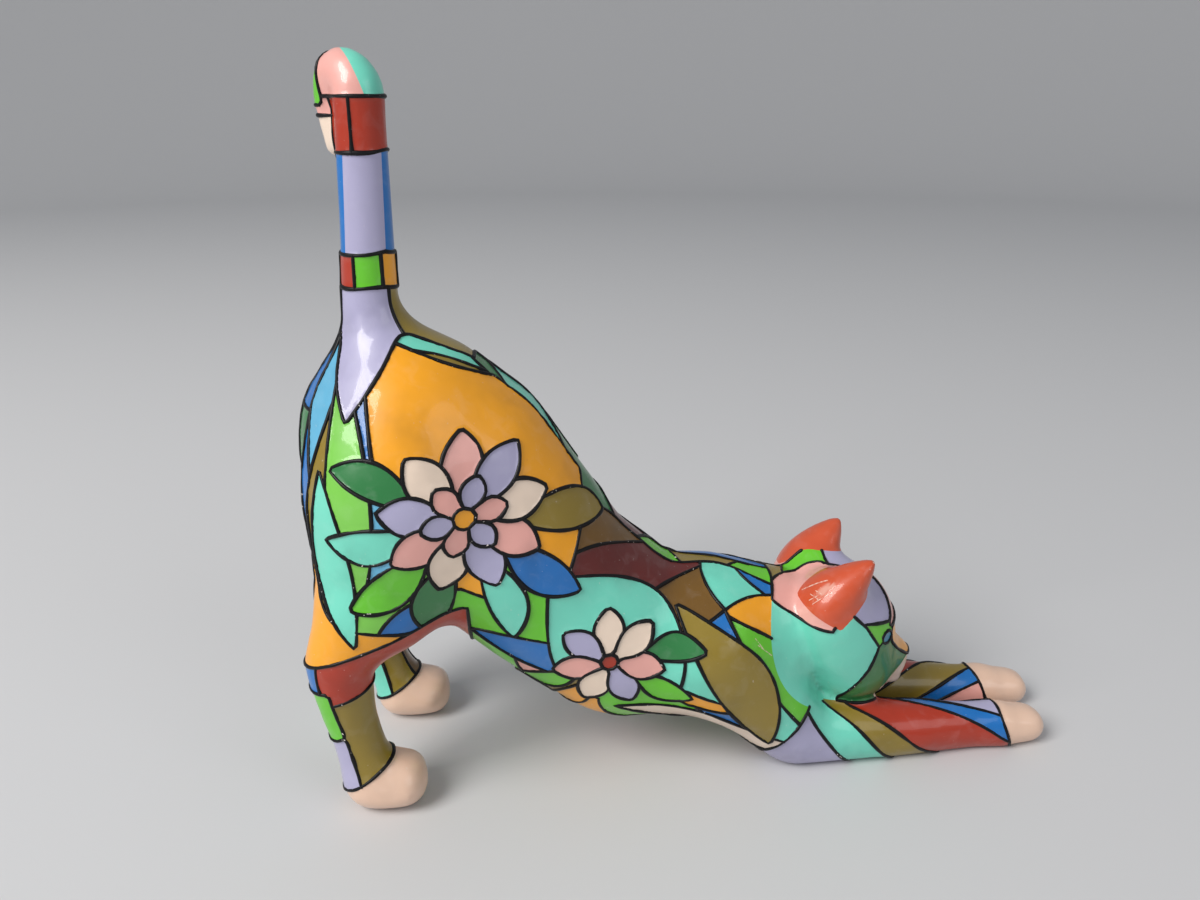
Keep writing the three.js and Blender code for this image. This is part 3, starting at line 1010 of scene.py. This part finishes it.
ink = Finish("outline", IOR=1.4, Specular_IOR_Level=0.35)
place = ink.node("ShaderNodeTexCoord", "Object")
lump = ink.node("ShaderNodeTexNoise", 0, Vector=place, Scale=220.0, Detail=3.0)
speck = ink.node("ShaderNodeTexNoise", 0, Vector=place, Scale=900.0, Detail=1.0)
spread = ink.node("ShaderNodeTexNoise", 0, Vector=place, Scale=60.0, Detail=1.0)
chipped = speck.between(0.72, 0.76) * spread.between(0.5, 0.6)
black = ink.node("ShaderNodeRGB")
black.socket.default_value = (0.004, 0.004, 0.005, 1)
ink.feed("Base Color", black.tinted(chipped, (0.7, 0.65, 0.6, 1)))
ink.feed("Roughness", 0.25 + 0.3 * lump)
ink.feed("Normal", ink.node("ShaderNodeBump", 0, Height=lump, Strength=0.4, Distance=0.0004))

tree = bpy.data.node_groups.new("drawn line", "GeometryNodeTree")
for title, kind, way in (
    ("Geometry", "NodeSocketGeometry", "INPUT"), ("Half Width", "NodeSocketFloat", "INPUT"),
    ("Step", "NodeSocketFloat", "INPUT"), ("Material", "NodeSocketMaterial", "INPUT"),
    ("Geometry", "NodeSocketGeometry", "OUTPUT"),
):
    tree.interface.new_socket(title, in_out=way, socket_type=kind)


def made(kind, settings=None, **inputs):
    """What a new node of the line's tree gives."""
    return add_node(tree, kind, settings, **inputs).outputs[0]


given = add_node(tree, "NodeGroupInput").outputs
curve = made("GeometryNodeMeshToCurve", Mesh=given["Geometry"])
curve = made("GeometryNodeResampleCurve", {"mode": "LENGTH"}, Curve=curve, Length=given["Step"])
uneven = made("ShaderNodeTexNoise", Vector=made("GeometryNodeInputPosition"), Scale=110.0, Detail=2.0)
width = made("ShaderNodeMapRange", Value=uneven, From_Min=0.3, From_Max=0.7, To_Min=0.75, To_Max=1.25)
ring = made("GeometryNodeCurvePrimitiveCircle", Resolution=8, Radius=given["Half Width"])
tube = made("GeometryNodeCurveToMesh", Curve=curve, Profile_Curve=ring, Scale=width, Fill_Caps=True)
# A ball of paint fills each place where a line ends or lines cross
meeting = made("GeometryNodeInputMeshVertexNeighbors")
crossing = made("FunctionNodeCompare", {"data_type": "INT", "operation": "NOT_EQUAL"}, _2=meeting, _3=2)
dots = made("GeometryNodeMeshToPoints", Mesh=given["Geometry"], Selection=crossing)
ball = made("GeometryNodeMeshIcoSphere", Radius=given["Half Width"], Subdivisions=2)
balls = made("GeometryNodeInstanceOnPoints", Points=dots, Instance=ball)
both = add_node(tree, "GeometryNodeJoinGeometry", Geometry=tube)
tree.links.new(balls, both.inputs["Geometry"])
real = made("GeometryNodeRealizeInstances", Geometry=both.outputs[0])
# None of it goes below the floor
above = made("ShaderNodeVectorMath", {"operation": "MAXIMUM"},
             _0=made("GeometryNodeInputPosition"), _1=(-1, -1, 0))
real = made("GeometryNodeSetPosition", Geometry=real, Position=above)
real = made("GeometryNodeSetShadeSmooth", Geometry=real)
real = made("GeometryNodeSetMaterial", Geometry=real, Material=given["Material"])
add_node(tree, "NodeGroupOutput", Geometry=real)

drawing = lines.modifiers.new("drawn line", "NODES")
drawing.node_group = tree
line_inputs = {
    "Half Width": LINE_HALF_WIDTH * METRES, "Step": LINE_STEP * METRES, "Material": ink.material,
}
for socket in tree.interface.items_tree:
    if socket.name in line_inputs:
        drawing[socket.identifier] = line_inputs[socket.name]
drawn = finished_mesh(lines)
lines.modifiers.remove(drawing)
lines.data = drawn
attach(lines, "root")

# Floor, light and camera
# A plain pale studio: a round floor whose rim curves up, a large soft window light, a weak fill
# light, and the camera where the photograph was taken from. Sizes are in metres.

FLOOR_FLAT, FLOOR_RIM, FLOOR_SIDES = 1.8, 2.4, 96
WINDOW_PLACE, FILL_PLACE, LIGHTS_AIM = (-1.5, -0.9, 1.6), (1.2, -1.3, 1.2), (0, 0, 0.08)
CAMERA_PLACE = (-0.0680, -0.3095, 0.2332)

bpy.context.scene.view_settings.view_transform = "Standard"

profile = [(FLOOR_FLAT, 0.0), (FLOOR_RIM, 0.0)]
profile += [(FLOOR_RIM + math.sin(turn), 1 - math.cos(turn)) for turn in np.linspace(0.1, 1.4, 14)]
around = [2 * math.pi * n / FLOOR_SIDES for n in range(FLOOR_SIDES)]
sweep = [
    (reach * math.cos(turn), reach * math.sin(turn), height)
    for reach, height in profile for turn in around
]
hoops = [range(FLOOR_SIDES * n, FLOOR_SIDES * (n + 1)) for n in range(len(profile))]
shell = [
    (inner[n - 1], outer[n - 1], outer[n], inner[n])
    for inner, outer in zip(hoops, hoops[1:]) for n in range(FLOOR_SIDES)
]
floor_mesh = bpy.data.meshes.new("floor")
floor_mesh.from_pydata(sweep, [], [tuple(hoops[0])] + shell)
floor_mesh.polygons.foreach_set("use_smooth", [True] * len(floor_mesh.polygons))
floor = stand("floor", floor_mesh)
pale = Finish("floor", Base_Color=(0.62, 0.62, 0.63, 1), Roughness=0.6)
floor_mesh.materials.append(pale.material)

world = bpy.data.worlds.new("studio")
bpy.context.scene.world = world
world.use_nodes = True
sky = world.node_tree.nodes["Background"]
sky.inputs["Color"].default_value = (0.88, 0.91, 0.95, 1)
sky.inputs["Strength"].default_value = 0.38


def soft_light(name, place, size, power, tint):
    """A soft box of light that shines from its place on to the cat."""
    lamp = bpy.data.lights.new(name, "AREA")
    lamp.shape = "RECTANGLE"
    lamp.size, lamp.size_y = size
    lamp.energy = power
    lamp.color = tint
    box = stand(name, lamp)
    box.location = place
    box.rotation_euler = (Vector(LIGHTS_AIM) - Vector(place)).to_track_quat("-Z", "Y").to_euler()


soft_light("window", WINDOW_PLACE, (1.1, 1.3), 50, (1, 0.98, 0.95))
soft_light("fill", FILL_PLACE, (1.0, 1.0), 5, (0.95, 0.97, 1))

lens = bpy.data.cameras.new("camera")
lens.lens = 28.5
lens.sensor_width = 36
camera = stand("camera", lens)
right, up, back = (0.9954, -0.0958, 0.0), (0.0328, 0.3404, 0.9397), (-0.0901, -0.9354, 0.3420)
facing = Matrix((right, up, back)).transposed().to_4x4()
camera.matrix_world = Matrix.Translation(CAMERA_PLACE) @ facing
bpy.context.scene.camera = camera
